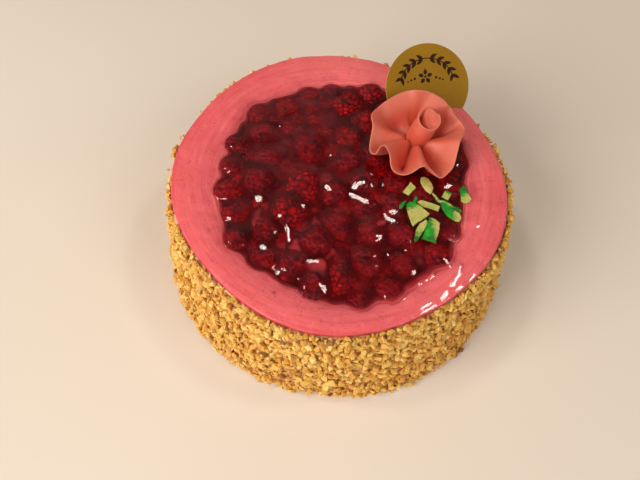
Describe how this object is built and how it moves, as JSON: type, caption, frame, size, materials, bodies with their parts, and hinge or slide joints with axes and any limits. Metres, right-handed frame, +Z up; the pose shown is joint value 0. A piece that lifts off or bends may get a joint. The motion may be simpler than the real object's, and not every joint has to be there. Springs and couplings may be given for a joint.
{
  "type": "raspberry cake",
  "caption": "Round uncut raspberry cake: chopped-nut side, pink rim round a pool of red jelly and berries, marzipan rose, plain gold disc and green almond chips.",
  "frame": {"origin": "middle of the cake's flat underside, at the centre of its box", "axes": "+Z up out of the pink top; +Y towards the back, behind the rose and the gold disc"},
  "size_m": [0.2187, 0.218, 0.0987],
  "materials": {
    "cream": "matte whipped cream, pale pink",
    "pink": "smooth glossy raspberry mousse with fine dark specks",
    "nuts": "chopped toasted nuts, dry and matte",
    "jelly": "clear dark red jelly, wet gloss",
    "berry": "wet raspberry drupelets under a jelly film",
    "marzipan": "smooth coral marzipan with a soft satin sheen",
    "gold": "gold-faced card, satin",
    "almond": "almond pieces partly dyed green"
  },
  "bodies": {
    "root": {"cake_body": "cream", "pink_top": "pink", "nut_coat": "nuts", "jelly": "jelly", "raspberry_01": "berry", "raspberry_02": "berry", "raspberry_03": "berry", "raspberry_04": "berry", "raspberry_05": "berry", "raspberry_06": "berry", "raspberry_07": "berry", "raspberry_08": "berry", "raspberry_09": "berry", "raspberry_10": "berry", "raspberry_11": "berry", "raspberry_12": "berry", "raspberry_13": "berry", "raspberry_14": "berry", "raspberry_15": "berry", "raspberry_16": "berry", "raspberry_17": "berry", "raspberry_18": "berry", "raspberry_19": "berry", "raspberry_20": "berry", "raspberry_21": "berry", "raspberry_22": "berry", "raspberry_23": "berry", "raspberry_24": "berry", "raspberry_25": "berry", "raspberry_26": "berry", "raspberry_27": "berry", "raspberry_28": "berry", "raspberry_29": "berry", "raspberry_30": "berry", "raspberry_31": "berry", "raspberry_32": "berry", "raspberry_33": "berry", "raspberry_34": "berry", "raspberry_35": "berry", "raspberry_36": "berry", "raspberry_37": "berry", "raspberry_38": "berry", "raspberry_39": "berry", "raspberry_40": "berry", "raspberry_41": "berry", "raspberry_42": "berry", "raspberry_43": "berry", "raspberry_44": "berry", "raspberry_45": "berry", "raspberry_46": "berry", "raspberry_47": "berry", "rose": "marzipan", "gold_tag": "gold", "almond_chip_1": "almond", "almond_chip_2": "almond", "almond_chip_3": "almond", "almond_chip_4": "almond", "almond_chip_5": "almond", "almond_chip_6": "almond", "almond_chip_7": "almond"}
  },
  "joints": []
}
